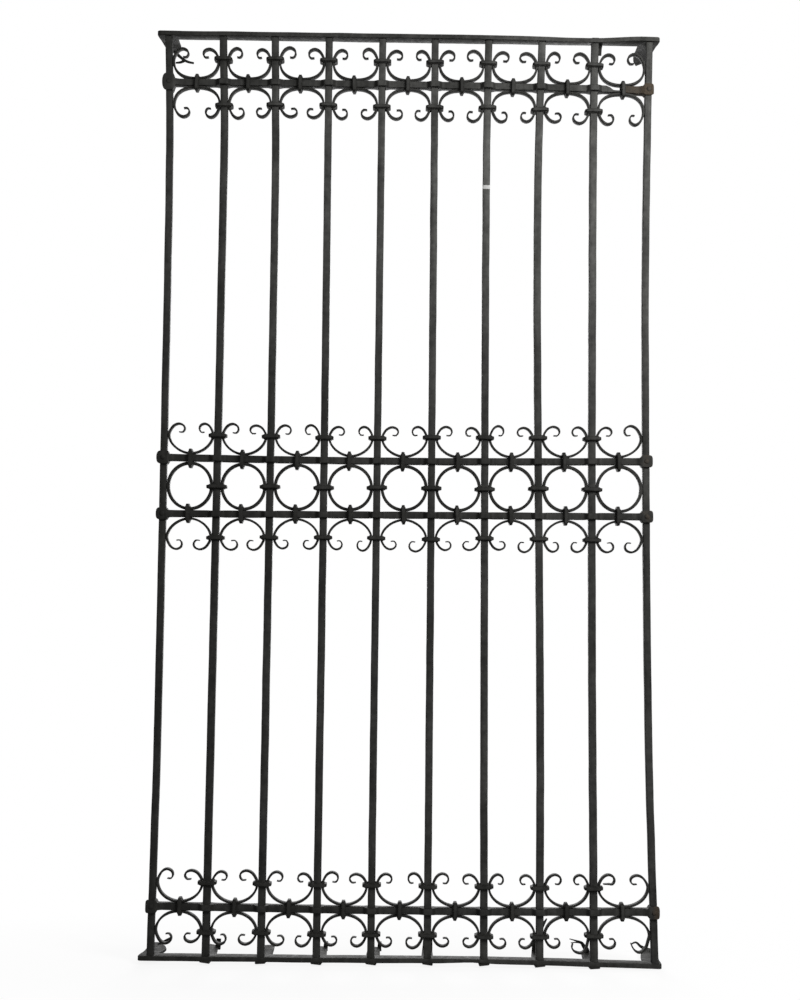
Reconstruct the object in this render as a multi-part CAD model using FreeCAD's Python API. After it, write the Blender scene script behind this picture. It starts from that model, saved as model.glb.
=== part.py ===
import FreeCAD, Part
import math
import os

from FreeCAD import Vector

# Wrought iron window grille. Sizes in millimetres, +Z up, +Y back into the wall, +X to the right.
# The origin is midway between the stiles, on the bars' centre plane, under the bottom flat rail.

# Square bars: sections of the inner bars and the stiles, and their even spacing
BAR = 16.0
STILE = 15.0
PITCH = 120.0
# How each bar strays: share of the height and offset from its even place, from foot to head
BAR_SET = (
    ((0, 0.0), (0.25, 4.0), (0.75, 1.6), (0.89, -1.4), (1, -8.4)),
    ((0, -0.5), (0.87, 3.2), (1, -4.2)),
    ((0, -1.0), (0.82, 0.8), (1, -5.2)),
    ((0, -1.0), (0.5, 0.5), (1, -2.0)),
    ((0, -3.0), (1, 0.5)),
    ((0, -0.5), (1, 0.5)),
    ((0, 2.0), (0.4, -1.0), (0.85, -1.0), (1, 3.2)),
    ((0, 2.5), (0.25, 3.2), (0.68, -5.0), (0.86, -3.0), (1, 5.6)),
    ((0, 0.5), (0.4, -3.0), (0.86, 1.0), (1, 6.0)),
    ((0, 12.5), (0.25, 0.5), (0.68, -2.4), (0.8, 0.9), (1, 10.0)),
)

# Heights from the bottom face up: to the lower rail, from rail to rail, and on to the top face
BOTTOM_RISE = 112.5
LOWER_SPAN = 858.0
MIDDLE_GAP = 122.5
UPPER_SPAN = 859.0
TOP_RISE = 117.0
# How much lower each rail hangs at its right end than at its left end
FALL = {"bottom_flat": 5.7, "lower": 3.0, "lower_middle": -3.7,
        "upper_middle": -1.4, "upper": 5.2, "top_flat": 4.3}

# Top and bottom flat rails with their wall legs
FLAT_DEPTH = 28.0
FLAT_THICK = 10.0
BOTTOM_OVERHANG = 26.0
TOP_OVERHANG = 33.0
LEG_WIDTH = 38.0
LEG_BACK = 100.0
PRONG_THICK = 5.0
PRONG_LENGTH = 28.0
PRONG_BEND = 20.0
HOLE_CLEAR = 0.5

# Pierced rails: section, eyes round the bars, and palms lapped on the stiles
RAIL_HEIGHT = 15.5
RAIL_DEPTH = 16.0
EYE_CHEEK = 8.0
EYE_RUN = 11.0
EYE_CLEAR = 0.5
PALM_HEIGHT = 28.0
PALM_THICK = 6.0
PALM_PAST = 6.0
PALM_ROUND = 6.0
NECK_RUN = 16.0
END_CLEAR = 0.6
RIVET_WIDE = 10.0
RIVET_HIGH = 3.0
RIVET_SIDES = 6

# The mended end of the upper rail: the long rail thins to a tongue that meets a short piece in the collar
TONGUE_HEIGHT = 5.5
TONGUE_RUN = 42.0

# Scrolls and rings of flat iron
SCROLL_THICK = 4.5
SCROLL_DEPTH = 13.0
SCROLL_FLAT = 17.0
SHOULDER_IN = 11.0
SHOULDER_DROP = 28.0
CURL_WIDTH = 36.0
CURL_RISE = 28.5
# Bends of a curl from the collar to its tip, as shares of its width and rise
CURL_SHAPE = ((0.18, 0.81), (0.73, 1.0), (1.0, 0.52), (0.66, 0.22))
CURL_THIN = 0.8
CURL_HAND = 0.05
RING_THICK = 6.5
RING_SIDES = 12
SEAT = 0.3

# Collars: how far from the rail they bind the scrolls to the bars, and their own section
COLLAR_RISE = 52.0
COLLAR_WIDE = 11.0
COLLAR_THICK = 6.0

# Straps that run from the flat rails into the wall
STRAP_WIDE = 25.0
STRAP_THICK = 5.0
STRAP_PROUD = 2.0
# How far back the strap behind each inner bar runs, and how high its end is turned up
STRAPS = ((112.0, 10.0), (110.0, 0.0), (108.0, 13.0), (106.0, 13.0),
          (105.0, 0.0), (22.0, 0.0), (100.0, 60.0), (100.0, 0.0))
TOP_STRAP_BAR = 8
TOP_STRAP_SHIFT = 6.0
TOP_STRAP_DROP = 24.0

# Worked out from the sizes above
LAST = len(BAR_SET) - 1
WIDTH = LAST * PITCH
HEIGHT = BOTTOM_RISE + LOWER_SPAN + MIDDLE_GAP + UPPER_SPAN + TOP_RISE
LOWER_MIDDLE_Z = BOTTOM_RISE + LOWER_SPAN
RAIL_Z = {"bottom_flat": 0.0, "lower": BOTTOM_RISE, "lower_middle": LOWER_MIDDLE_Z,
          "upper_middle": LOWER_MIDDLE_Z + MIDDLE_GAP, "upper": HEIGHT - TOP_RISE, "top_flat": HEIGHT}
PIERCED = ("upper", "upper_middle", "lower_middle", "lower")
HALF_BAR = BAR / 2
HALF_STILE = STILE / 2
HALF_RAIL = RAIL_HEIGHT / 2
PALM_FRONT = -HALF_STILE - PALM_THICK
UP = 1
DOWN = -1


def bar_x(index, z):
    """Centre of a bar at a height, with its lean and bow."""
    bends = BAR_SET[index]
    step = 0
    while step < len(bends) - 2 and z > bends[step + 1][0] * HEIGHT:
        step += 1
    (low, start), (high, end) = bends[step], bends[step + 1]
    offset = start + (end - start) * (z / HEIGHT - low) / (high - low)
    return (index - LAST / 2) * PITCH + offset


def half_bar(index):
    return HALF_STILE if index in (0, LAST) else HALF_BAR


def bay_middle(bay, z):
    return (bar_x(bay, z) + bar_x(bay + 1, z)) / 2


def rail_z(rail, x):
    """Height of a rail at a place along it: a pierced rail's centre, a flat rail's outer face."""
    return RAIL_Z[rail] - FALL[rail] * x / WIDTH


def ring_z(x):
    return (rail_z("upper_middle", x) + rail_z("lower_middle", x)) / 2


def collar_z(rail, way, index):
    """Height of the collar that binds the scrolls above or below a rail to a bar."""
    return rail_z(rail, bar_x(index, RAIL_Z[rail])) + way * COLLAR_RISE


def tilted(shape, rail):
    """A shape made level, turned to hang with its rail."""
    turn = math.degrees(math.atan2(FALL[rail], WIDTH))
    return shape.rotated(Vector(0, 0, RAIL_Z[rail]), Vector(0, 1, 0), turn)


def outline(points):
    return Part.makePolygon(points + points[:1])


def front_plate(points, back, front):
    """Solid from an outline in the front view, given as (x, z), between two depths."""
    face = Part.Face(outline([Vector(x, back, z) for x, z in points]))
    return face.extrude(Vector(0, front - back, 0))


def plan_plate(points, bottom, top, holes=()):
    """Solid from an outline in the plan view, given as (x, y), with holes, between two heights."""
    wires = [outline([Vector(x, y, bottom) for x, y in loop]) for loop in (points, *holes)]
    face = Part.makeFace(wires, "Part::FaceMakerBullseye")
    return face.extrude(Vector(0, 0, top - bottom))


def side_plate(points, left, right):
    """Solid from an outline in the side view, given as (y, z), between two places along X."""
    face = Part.Face(outline([Vector(left, y, z) for y, z in points]))
    return face.extrude(Vector(right - left, 0, 0))


def rectangle(low_u, high_u, low_v, high_v):
    return [(low_u, low_v), (high_u, low_v), (high_u, high_v), (low_u, high_v)]


def square_hole(x, half):
    return rectangle(x - half, x + half, -half, half)


def square_bar(index):
    """One upright, burred flush with the outer faces of both flat rails."""
    half = half_bar(index)
    edges = []
    for side in (-half, half):
        foot = bar_x(index, 0) + side
        head = bar_x(index, HEIGHT) + side
        between = [share * HEIGHT for share, offset in BAR_SET[index][1:-1]]
        edges.append([(foot, rail_z("bottom_flat", foot)), *((bar_x(index, z) + side, z) for z in between),
                      (head, rail_z("top_flat", head))])
    return front_plate(edges[0] + edges[1][::-1], half, -half)


def prong_pair(end, side, face_z, turn):
    """The split end of a wall leg: one prong turned in beside the other, which bends up or down."""
    outer = side * end
    inner = side * (end - LEG_WIDTH)
    middle = (outer + inner) / 2
    thin = face_z + turn * PRONG_THICK
    tip = inner - side * PRONG_BEND
    flat_prong = plan_plate([(inner, LEG_BACK), (middle, LEG_BACK), (tip, LEG_BACK + PRONG_LENGTH)],
                            min(face_z, thin), max(face_z, thin))
    bent = [(LEG_BACK, face_z), (LEG_BACK, thin), (LEG_BACK + PRONG_LENGTH, face_z + turn * PRONG_BEND)]
    bent_prong = side_plate(bent, min(middle, outer), max(middle, outer))
    return [flat_prong, bent_prong]


def flat_rail(rail, turn, overhang):
    """A flat rail lying flat, pierced for every bar, its ends turned back into legs."""
    end = WIDTH / 2 + overhang
    inside = end - LEG_WIDTH
    half_depth = FLAT_DEPTH / 2
    points = [(-end, -half_depth), (end, -half_depth), (end, LEG_BACK), (inside, LEG_BACK),
              (inside, half_depth), (-inside, half_depth), (-inside, LEG_BACK), (-end, LEG_BACK)]
    outer = RAIL_Z[rail]
    inner = outer + turn * FLAT_THICK
    holes = [square_hole(bar_x(index, outer), half_bar(index) + HOLE_CLEAR) for index in range(LAST + 1)]
    level = plan_plate(points, min(outer, inner), max(outer, inner), holes)
    for side in (-1, 1):
        level = level.fuse(prong_pair(end, side, outer, turn))
    return tilted(level.removeSplitter(), rail)


def palm(side, z):
    """The flattened end of a pierced rail, lapped on the front of a stile."""
    stile = bar_x(LAST if side > 0 else 0, z)
    start = stile - side * (HALF_STILE + END_CLEAR + NECK_RUN / 2)
    wide = stile - side * HALF_STILE
    end = stile + side * (HALF_STILE + PALM_PAST)
    half = PALM_HEIGHT / 2
    points = [(start, z - HALF_RAIL), (wide, z - half), (end - side * PALM_ROUND, z - half),
              (end, z - half + PALM_ROUND), (end, z + half - PALM_ROUND), (end - side * PALM_ROUND, z + half),
              (wide, z + half), (start, z + HALF_RAIL)]
    return front_plate(points, -HALF_STILE, PALM_FRONT)


def pierced_rail(z):
    """A square rail opened into an eye round each inner bar, with a palm at each end."""
    half_depth = RAIL_DEPTH / 2
    hole = HALF_BAR + EYE_CLEAR
    eye = hole + EYE_CHEEK
    reach = HALF_BAR + EYE_RUN
    left = bar_x(0, z) + HALF_STILE + END_CLEAR
    right = bar_x(LAST, z) - HALF_STILE - END_CLEAR
    front = []
    for index in range(1, LAST):
        x = bar_x(index, z)
        front += [(x - reach, -half_depth), (x, -eye), (x + reach, -half_depth)]
    back = [(x, -y) for x, y in reversed(front)]
    front = [(left, PALM_FRONT), (left + NECK_RUN, -half_depth)] + front
    front += [(right - NECK_RUN, -half_depth), (right, PALM_FRONT)]
    points = front + [(right, half_depth)] + back + [(left, half_depth)]
    holes = [square_hole(bar_x(index, z), hole) for index in range(1, LAST)]
    body = plan_plate(points, z - HALF_RAIL, z + HALF_RAIL, holes)
    return body.fuse([palm(-1, z), palm(1, z)]).removeSplitter()


def mended_rail(z):
    """The upper rail in two pieces: the long one thinned to a tongue, and the short one to the stile."""
    whole = pierced_rail(z)
    meet = bay_middle(LAST - 1, z)
    deep = RAIL_DEPTH + PALM_THICK + EYE_CHEEK
    short_side = front_plate(rectangle(meet, WIDTH, z - PITCH, z + PITCH), deep, -deep)
    top = z + HALF_RAIL
    tongue = [(meet - TONGUE_RUN, top), (meet, top), (meet, z - HALF_RAIL + TONGUE_HEIGHT)]
    thin = front_plate(tongue, deep, -deep)
    return whole.cut(short_side).cut(thin), whole.common(short_side)


def rivet_heads():
    """One low faceted head on each palm, over its stile."""
    heads = []
    for rail in PIERCED:
        for index in (0, LAST):
            x = bar_x(index, RAIL_Z[rail])
            centre = Vector(x, PALM_FRONT, rail_z(rail, x))
            turns = [2 * math.pi * side / RIVET_SIDES for side in range(RIVET_SIDES)]
            rim = [centre + Vector(math.cos(turn), 0, math.sin(turn)) * (RIVET_WIDE / 2) for turn in turns]
            crown = centre - Vector(0, RIVET_HIGH, 0)
            faces = [Part.Face(outline(rim))]
            for here, beyond in zip(rim, rim[1:] + rim[:1]):
                faces.append(Part.Face(outline([here, beyond, crown])))
            heads.append(Part.makeSolid(Part.makeShell(faces)))
    return heads


def ribbon(path, thicknesses):
    """Outline of a bent flat bar from its centre line, mitred at bends, pointed where it has no thickness."""
    left = []
    right = []
    for place, (point, thickness) in enumerate(zip(path, thicknesses)):
        before = path[max(place - 1, 0)]
        after = path[min(place + 1, len(path) - 1)]
        if thickness == 0:
            left.append(point)
            continue
        arrive = (point - before).normalize()
        leave = (after - point).normalize()
        across = Vector(-(arrive + leave).z, 0, (arrive + leave).x).normalize()
        normal = Vector(-arrive.z, 0, arrive.x)
        offset = across * (thickness / 2 / across.dot(normal))
        left.append(point + offset)
        right.append(point - offset)
    return left + right[::-1]


def curl_size(row, bay, side):
    """Hand work: no two neighbouring curls are turned quite alike."""
    return 1 + CURL_HAND * ((3 * bay + 2 * row + (side > 0)) % 5 - 2)


def scroll(row, bay, rail, way):
    """A C-scroll lying on a rail, touching the bars at collar height, its ends curled into the bay."""
    middle = bay_middle(bay, RAIL_Z[rail])
    base = HALF_RAIL + SEAT + SCROLL_THICK / 2
    halves = {}
    for side, index in ((-1, bay), (1, bay + 1)):
        room = half_bar(index) + SEAT + SCROLL_THICK / 2
        seat = bar_x(index, collar_z(rail, way, index)) - side * room
        size = curl_size(row, bay, side)
        shoulder = (seat - side * SHOULDER_IN, COLLAR_RISE - SHOULDER_DROP)
        points = [(middle + side * SCROLL_FLAT, base), shoulder, (seat, COLLAR_RISE)]
        for across, along in CURL_SHAPE:
            points.append((seat - side * across * CURL_WIDTH * size, COLLAR_RISE + along * CURL_RISE * size))
        halves[side] = [Vector(x, 0, rail_z(rail, x) + way * rise) for x, rise in points]
    path = halves[-1][::-1] + halves[1]
    full = [SCROLL_THICK] * (len(path) - 4)
    thicknesses = [0, SCROLL_THICK * CURL_THIN] + full + [SCROLL_THICK * CURL_THIN, 0]
    points = [(point.x, point.z) for point in ribbon(path, thicknesses)]
    return front_plate(points, SCROLL_DEPTH / 2, -SCROLL_DEPTH / 2)


def ring(bay):
    """A flat-iron ring that fills its bay between the two middle rails."""
    level = ring_z(bay_middle(bay, LOWER_MIDDLE_Z))
    left = bar_x(bay, level) + half_bar(bay) + SEAT
    right = bar_x(bay + 1, level) - half_bar(bay + 1) - SEAT
    middle = (left + right) / 2
    half_wide = (right - left) / 2
    half_high = rail_z("upper_middle", middle) - level - HALF_RAIL - SEAT
    stretch = 1 / math.cos(math.pi / RING_SIDES)

    def loop(inset):
        turns = [2 * math.pi * (side + 0.5) / RING_SIDES for side in range(RING_SIDES)]
        return [(middle + (half_wide - inset) * stretch * math.cos(turn),
                 level + (half_high - inset) * stretch * math.sin(turn)) for turn in turns]

    depth = SCROLL_DEPTH / 2
    return front_plate(loop(0), depth, -depth).cut(front_plate(loop(RING_THICK), depth, -depth))


def collar_half_depth():
    return max(BAR, RAIL_DEPTH, SCROLL_DEPTH) / 2 + SEAT


def splayed_room():
    """Room that a scroll needs beside a bar inside a collar, where it leans away from the bar both ways."""
    across, along = CURL_SHAPE[0]
    lean = max(SHOULDER_IN / SHOULDER_DROP, across * CURL_WIDTH / (along * CURL_RISE))
    return 2 * SEAT + SCROLL_THICK / 2 * (1 + math.hypot(1, lean)) + lean * COLLAR_WIDE / 2


def bar_collar(index, z, room):
    """A collar round a bar and what lies on each side of it."""
    x = bar_x(index, z)
    inner_x = HALF_BAR + room
    inner_y = collar_half_depth()
    outer_x = inner_x + COLLAR_THICK
    outer_y = inner_y + COLLAR_THICK
    low = z - COLLAR_WIDE / 2
    hole = rectangle(x - inner_x, x + inner_x, -inner_y, inner_y)
    return plan_plate(rectangle(x - outer_x, x + outer_x, -outer_y, outer_y), low, low + COLLAR_WIDE, [hole])


def rail_collar(bay, rail, above, below):
    """A collar round a rail and the flat iron that lies above and below it."""
    middle = bay_middle(bay, RAIL_Z[rail])
    left = middle - COLLAR_WIDE / 2
    right = left + COLLAR_WIDE
    inner_y = collar_half_depth()
    low = rail_z(rail, middle) - HALF_RAIL - below - 2 * SEAT
    high = rail_z(rail, middle) + HALF_RAIL + above + 2 * SEAT
    wall = COLLAR_THICK
    outer = side_plate(rectangle(-inner_y - wall, inner_y + wall, low - wall, high + wall), left, right)
    return outer.cut(side_plate(rectangle(-inner_y, inner_y, low, high), left, right))


def bottom_strap(index):
    """A strap under the bottom flat rail, run back into the wall, with or without its end turned up."""
    x = bar_x(index, 0)
    front = -FLAT_DEPTH / 2 - STRAP_PROUD
    back, turn_up = STRAPS[index - 1]
    side = rectangle(front, back, -STRAP_THICK, 0)
    if turn_up:
        side[2:3] = [(back, turn_up), (back - STRAP_THICK, turn_up), (back - STRAP_THICK, 0)]
    return tilted(side_plate(side, x - STRAP_WIDE / 2, x + STRAP_WIDE / 2), "bottom_flat")


def top_strap():
    """A strap under the top flat rail, from the back of a bar, turned down behind the rail."""
    x = bar_x(TOP_STRAP_BAR, HEIGHT) + TOP_STRAP_SHIFT
    start = HALF_BAR + SEAT
    behind = FLAT_DEPTH / 2 + SEAT
    under = HEIGHT - FLAT_THICK
    end = under - TOP_STRAP_DROP
    side = [(start, under), (start, under - STRAP_THICK), (behind, under - STRAP_THICK), (behind, end),
            (behind + STRAP_THICK, end), (behind + STRAP_THICK, under)]
    return tilted(side_plate(side, x - STRAP_WIDE / 2, x + STRAP_WIDE / 2), "top_flat")


def build():
    """Every node of the grille by name, each a solid or a list of separate solids."""
    bays = range(LAST)
    inner = range(1, LAST)
    nodes = {"stile_left": square_bar(0), "stile_right": square_bar(LAST)}
    for index in inner:
        nodes[f"bar_{index}"] = square_bar(index)
    nodes["bottom_flat_rail"] = flat_rail("bottom_flat", UP, BOTTOM_OVERHANG)
    nodes["top_flat_rail"] = flat_rail("top_flat", DOWN, TOP_OVERHANG)
    for rail in PIERCED:
        if rail == "upper":
            long_piece, short_piece = mended_rail(RAIL_Z[rail])
            nodes["upper_rail_end"] = tilted(short_piece, rail)
        else:
            long_piece = pierced_rail(RAIL_Z[rail])
        nodes[f"{rail}_rail"] = tilted(long_piece, rail)
    nodes["rivet_heads"] = rivet_heads()

    pairs = {"upper": (("upper", UP), ("upper", DOWN)),
             "middle": (("upper_middle", UP), ("lower_middle", DOWN)),
             "lower": (("lower", UP), ("lower", DOWN))}
    row = 0
    for place, rows in pairs.items():
        for bay in bays:
            nodes[f"{place}_scrolls_bay_{bay + 1}"] = [
                scroll(row + below, bay, rail, way) for below, (rail, way) in enumerate(rows)]
        for name, (rail, way) in zip(("top", "bottom"), rows):
            nodes[f"{place}_{name}_bar_collars"] = [
                bar_collar(index, collar_z(rail, way, index), splayed_room()) for index in inner]
        row += len(rows)

    nodes["rings"] = [ring(bay) for bay in bays]
    ring_room = RING_THICK + 2 * SEAT
    nodes["ring_bar_collars"] = [
        bar_collar(index, ring_z(bar_x(index, LOWER_MIDDLE_Z)), ring_room) for index in inner]
    bound = {"upper": (SCROLL_THICK, SCROLL_THICK), "upper_middle": (SCROLL_THICK, RING_THICK),
             "lower_middle": (RING_THICK, SCROLL_THICK), "lower": (SCROLL_THICK, SCROLL_THICK)}
    for rail, (above, below) in bound.items():
        nodes[f"{rail}_rail_collars"] = [rail_collar(bay, rail, above, below) for bay in bays]

    nodes["bottom_straps"] = [bottom_strap(index) for index in inner]
    nodes["top_strap"] = top_strap()
    return nodes


os.makedirs("parts", exist_ok=True)
for node, shape in build().items():
    solid = Part.makeCompound(shape) if isinstance(shape, list) else shape
    solid.exportStep(f"parts/{node}.step")
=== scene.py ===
import math
import random

import bmesh
import bpy
from mathutils import Matrix, Vector, noise


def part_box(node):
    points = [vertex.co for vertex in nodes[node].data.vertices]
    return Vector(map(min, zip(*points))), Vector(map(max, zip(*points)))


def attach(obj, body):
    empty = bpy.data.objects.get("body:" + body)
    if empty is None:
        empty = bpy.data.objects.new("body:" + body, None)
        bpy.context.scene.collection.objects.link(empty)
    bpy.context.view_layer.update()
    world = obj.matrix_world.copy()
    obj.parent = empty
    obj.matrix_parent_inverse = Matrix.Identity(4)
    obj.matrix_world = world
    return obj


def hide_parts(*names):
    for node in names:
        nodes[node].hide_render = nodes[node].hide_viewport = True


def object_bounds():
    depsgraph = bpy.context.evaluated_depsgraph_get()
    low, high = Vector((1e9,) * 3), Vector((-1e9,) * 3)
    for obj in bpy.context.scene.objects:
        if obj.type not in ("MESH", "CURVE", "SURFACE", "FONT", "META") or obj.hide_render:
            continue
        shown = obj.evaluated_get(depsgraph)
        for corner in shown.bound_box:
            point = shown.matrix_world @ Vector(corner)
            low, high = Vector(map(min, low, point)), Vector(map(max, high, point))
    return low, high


# Wrought iron window grille: forged, painted and weathered, built around its solids.
# Metres, +Z up, +Y back into the wall, +X to the right seen from the front.

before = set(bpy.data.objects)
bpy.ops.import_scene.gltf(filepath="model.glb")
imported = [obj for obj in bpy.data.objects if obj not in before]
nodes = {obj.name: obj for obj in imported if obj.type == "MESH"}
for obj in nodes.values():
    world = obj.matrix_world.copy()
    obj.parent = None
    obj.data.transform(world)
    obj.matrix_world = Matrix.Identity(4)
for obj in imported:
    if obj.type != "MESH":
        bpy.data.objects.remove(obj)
cad_low, cad_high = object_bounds()

# Seeds of the uneven handwork and of the hammer marks
HAND_SEED = 7
HAMMER_SEED = 21
hand = random.Random(HAND_SEED)
noise.seed_set(HAMMER_SEED)

MM = 0.001
X = Vector((1, 0, 0))
Y = Vector((0, 1, 0))
Z = Vector((0, 0, 1))

# Names of the solids
BAR_NAMES = ["stile_left", *(f"bar_{number}" for number in range(1, 9)), "stile_right"]
RAIL_NAMES = ("upper", "upper_middle", "lower_middle", "lower")
LAST = len(BAR_NAMES) - 1
INNER_BARS = range(1, LAST)

# Square bars; bends of the same bar are further apart than BEND_APART
BAR_STEP = 6 * MM
BAR_ARRIS = 1.2 * MM
BAR_ARRIS_STEPS = 2
BEND_APART = 20 * MM

# Pierced rails: their section, and how near the bars' plane and a bar their corners lie
HALF_RAIL = 7.75 * MM
RAIL_HALF_DEPTH = 8 * MM
RAIL_ARRIS = 1.5 * MM
RAIL_STEP = 8 * MM
STATION_GAP = RAIL_STEP / 3
NEAR_PLANE = 20 * MM
NEAR_BAR = 14 * MM

# Eyes of the rails round the bars
EYE_FRONT = 8.0 * MM
EYE_BACK = 7.5 * MM
EYE_CHEEK = 8.2 * MM
EYE_REACH = 18.5 * MM
EYE_CLEAR = 0.4 * MM
EYE_PINCH = 1.0 * MM
EYE_STRAIGHT = 0.6
EYE_STEPS = 12
HOLE_CORNER = 0.2 * MM
RAIL_CUT = 3 * HALF_RAIL

# Palms on the left and right stile: half height, how far past the stile, and squareness
LEFT_PALMS = {"upper": (20.5 * MM, 7.3 * MM, 2.8), "upper_middle": (15.0 * MM, 7.2 * MM, 3.2),
              "lower_middle": (13.6 * MM, 6.0 * MM, 3.6), "lower": (14.2 * MM, 5.0 * MM, 6.0)}
RIGHT_PALMS = {"upper": (13.6 * MM, 3.2 * MM, 4.0), "upper_middle": (13.6 * MM, 6.2 * MM, 5.0),
               "lower_middle": (13.6 * MM, 6.0 * MM, 5.0), "lower": (13.8 * MM, 4.2 * MM, 5.0)}
TALLEST_PALM = 20.5 * MM
PALM_THICK = 6 * MM
PALM_GAP = 0.1 * MM
PALM_TIP = 0.997
PALM_STEPS = 11
FLARE_START = 14 * MM
FLARE_FULL = 9 * MM
NECK_START = 25 * MM
NECK_END = 9 * MM
NECK_PAST = 3 * MM
NECK_STEPS = 18
END_CLEAR = 0.6 * MM
END_STEP = 0.01 * MM
STILE_CLEAR = 1 * MM

# The upper rail's tongue in the last bay and the short piece that runs on from it
TONGUE_HEIGHT = 5.0 * MM
TONGUE_START = 17 * MM
TONGUE_END = 46 * MM
MENDED_SAG = 3 * MM

# How far the rails stray from straight, at four even places from left to right
RAIL_BOW = {"upper": (-1.4 * MM, 0.8 * MM, 0.4 * MM, -3.0 * MM),
            "lower": (2.0 * MM, -1.2 * MM, -1.6 * MM, 1.8 * MM),
            "upper_middle": (1.8 * MM, -1.9 * MM, -1.6 * MM, 1.8 * MM),
            "bottom_flat": (-1.3 * MM, 0.5 * MM, 2.6 * MM, -2.0 * MM)}

# Rivet heads on the palms: a dome would close at step RIVET_CLOSES, and is left flat after RIVET_STEPS
RIVET_HALF = 5.8 * MM
RIVET_HIGH = 2.6 * MM
RIVET_SIDES = 18
RIVET_STEPS = 5
RIVET_CLOSES = 5.3

# Scrolls and rings of flat iron; a higher form number makes a scroll squarer
SCROLL_THICK = 4.8 * MM
SCROLL_DEPTH = 13 * MM
SCROLL_FORM = {"upper": 2.4, "middle": 1.85, "lower": 2.0}
SCROLL_ROWS = {"upper": (("upper", 1), ("upper", -1)),
               "middle": (("upper_middle", 1), ("lower_middle", -1)),
               "lower": (("lower", 1), ("lower", -1))}
BELLY_STEPS = 8
FLAT_IRON_ARRIS = 1.1 * MM
FLAT_IRON_STEP = 4 * MM
SEAT = 0.3 * MM
# Thickness and depth of a scroll from tip to tip, by share of its length
TIP_THICK = 2.2 * MM
TIP_DEPTH = 10.5 * MM
SCROLL_THICKS = ((0, TIP_THICK), (0.1, SCROLL_THICK * 0.92), (0.25, SCROLL_THICK), (0.75, SCROLL_THICK),
                 (0.9, SCROLL_THICK * 0.92), (1, TIP_THICK))
SCROLL_DEPTHS = ((0, TIP_DEPTH), (0.1, SCROLL_DEPTH), (0.9, SCROLL_DEPTH), (1, TIP_DEPTH))
# Centre line of a curl from the collar to its tip: inward from the seat, away from the rail
CURL = ((2.4 * MM, 9.2 * MM), (9.4 * MM, 20.2 * MM), (19.2 * MM, 24.8 * MM), (28.6 * MM, 20.8 * MM),
        (31.2 * MM, 13.0 * MM), (27.0 * MM, 6.0 * MM), (20.0 * MM, 6.4 * MM))
CURL_WIDE = (0.99, 1.23)
CURL_HIGH = {"upper": (1.01, 1.23), "middle": (0.95, 1.15), "lower": (0.92, 1.12)}
# The left curl above the lower rail in the last bay has a longer, bent tip
BENT_CURL = (8, "lower", 1, -1)
BENT_TIP = (11.0 * MM, 6.9 * MM)
# The right curls under the lower rail in the last two bays are pulled out of shape
PULLED_CURLS = {
    (7, "lower", -1, 1): ((2.8 * MM, 13.8 * MM), (6.5 * MM, 26.4 * MM), (14.6 * MM, 35.2 * MM),
                          (24.1 * MM, 35.2 * MM), (32.9 * MM, 30.9 * MM), (36.9 * MM, 23.4 * MM),
                          (34.7 * MM, 15.3 * MM)),
    (8, "lower", -1, 1): ((2.6 * MM, 9.2 * MM), (6.6 * MM, 22.2 * MM), (13.6 * MM, 30.8 * MM),
                          (23.6 * MM, 34.2 * MM), (32.6 * MM, 29.2 * MM), (38.0 * MM, 20.2 * MM),
                          (40.0 * MM, 15.0 * MM)),
}
RING_THICK = 6.6 * MM
RING_STEPS = 56

# Collars: a rounded rib between two low shoulders
COLLAR_WIDE = 10.6 * MM
COLLAR_THICK = 6.4 * MM
RING_COLLAR_THICK = 7.6 * MM
RAIL_COLLAR_WIDE = 10.4 * MM
RAIL_COLLAR_THICK = {"upper": 6.0 * MM, "upper_middle": 7.4 * MM,
                     "lower_middle": 7.4 * MM, "lower": 6.4 * MM}
COLLAR_CORNER = 1.4 * MM
COLLAR_CORNER_STEPS = 4
# The rib's section: shoulder and crown are shares of the thickness, the next three of the half width
COLLAR_SHOULDER = 0.36
COLLAR_CROWN = 0.05
COLLAR_CREST = 0.56
COLLAR_SLOPE = 0.3
COLLAR_INSIDE = 0.97
COLLAR_STEPS = 14
# Where the collars sit, and how far they slip and lean
COLLAR_RISE = 52 * MM
TOP_ROW_LIFT = 2.5 * MM
COLLAR_ROOM = 6.0 * MM
RING_COLLAR_ROOM = RING_THICK + 2 * SEAT
COLLAR_LEAN_DEGREES = 2.0
COLLAR_SLIP = 1.6 * MM
RAIL_COLLAR_SLIP = (-4.0 * MM, 2.0 * MM)
MEND_COLLAR_SLIP = 3.5 * MM
# What the collars of each rail bind above it and below it
RAIL_BINDINGS = {"upper": (SCROLL_THICK, SCROLL_THICK), "upper_middle": (SCROLL_THICK, RING_THICK),
                 "lower_middle": (RING_THICK, SCROLL_THICK), "lower": (SCROLL_THICK, SCROLL_THICK)}

# Flat rails with their wall legs
FLAT_END = 573 * MM
FLAT_HALF_DEPTH = 14 * MM
FLAT_THICK = 10 * MM
FLAT_ARRIS = 1.3 * MM
FLAT_STEPS = 64
FLAT_CUT = 3 * FLAT_THICK
LEG_THICK = 5.5 * MM
LEG_THINS = (10 * MM, 42 * MM)
LEG_STEPS = 16
CORNER_ROUND = 6 * MM
CORNER_SPREAD = 0.4 * MM
CORNER_STEPS = 4
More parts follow.
